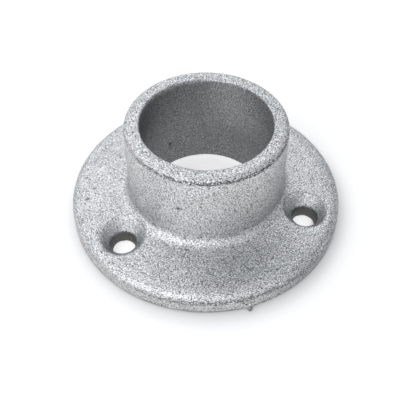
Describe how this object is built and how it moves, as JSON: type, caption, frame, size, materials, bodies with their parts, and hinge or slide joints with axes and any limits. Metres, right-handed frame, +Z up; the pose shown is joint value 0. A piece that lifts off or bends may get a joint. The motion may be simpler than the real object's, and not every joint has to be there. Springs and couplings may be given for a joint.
{
  "type": "tube base flange",
  "caption": "Round base flange with an upright collar that sockets a railing tube and countersunk holes for screwing it to a floor or wall.",
  "frame": {"origin": "Centre of the mounting face, on the axis of the tube bore.", "axes": "+Z runs up the tube bore, away from the mounting face. +Y points from the bore to one of the screw holes."},
  "size_m": [0.1138, 0.1157, 0.0444],
  "materials": {
    "galvanised_iron": "hot-dip galvanised over a sand-cast surface, fine grained and softly metallic"
  },
  "bodies": {
    "root": {"base_flange": "galvanised_iron"}
  },
  "joints": []
}
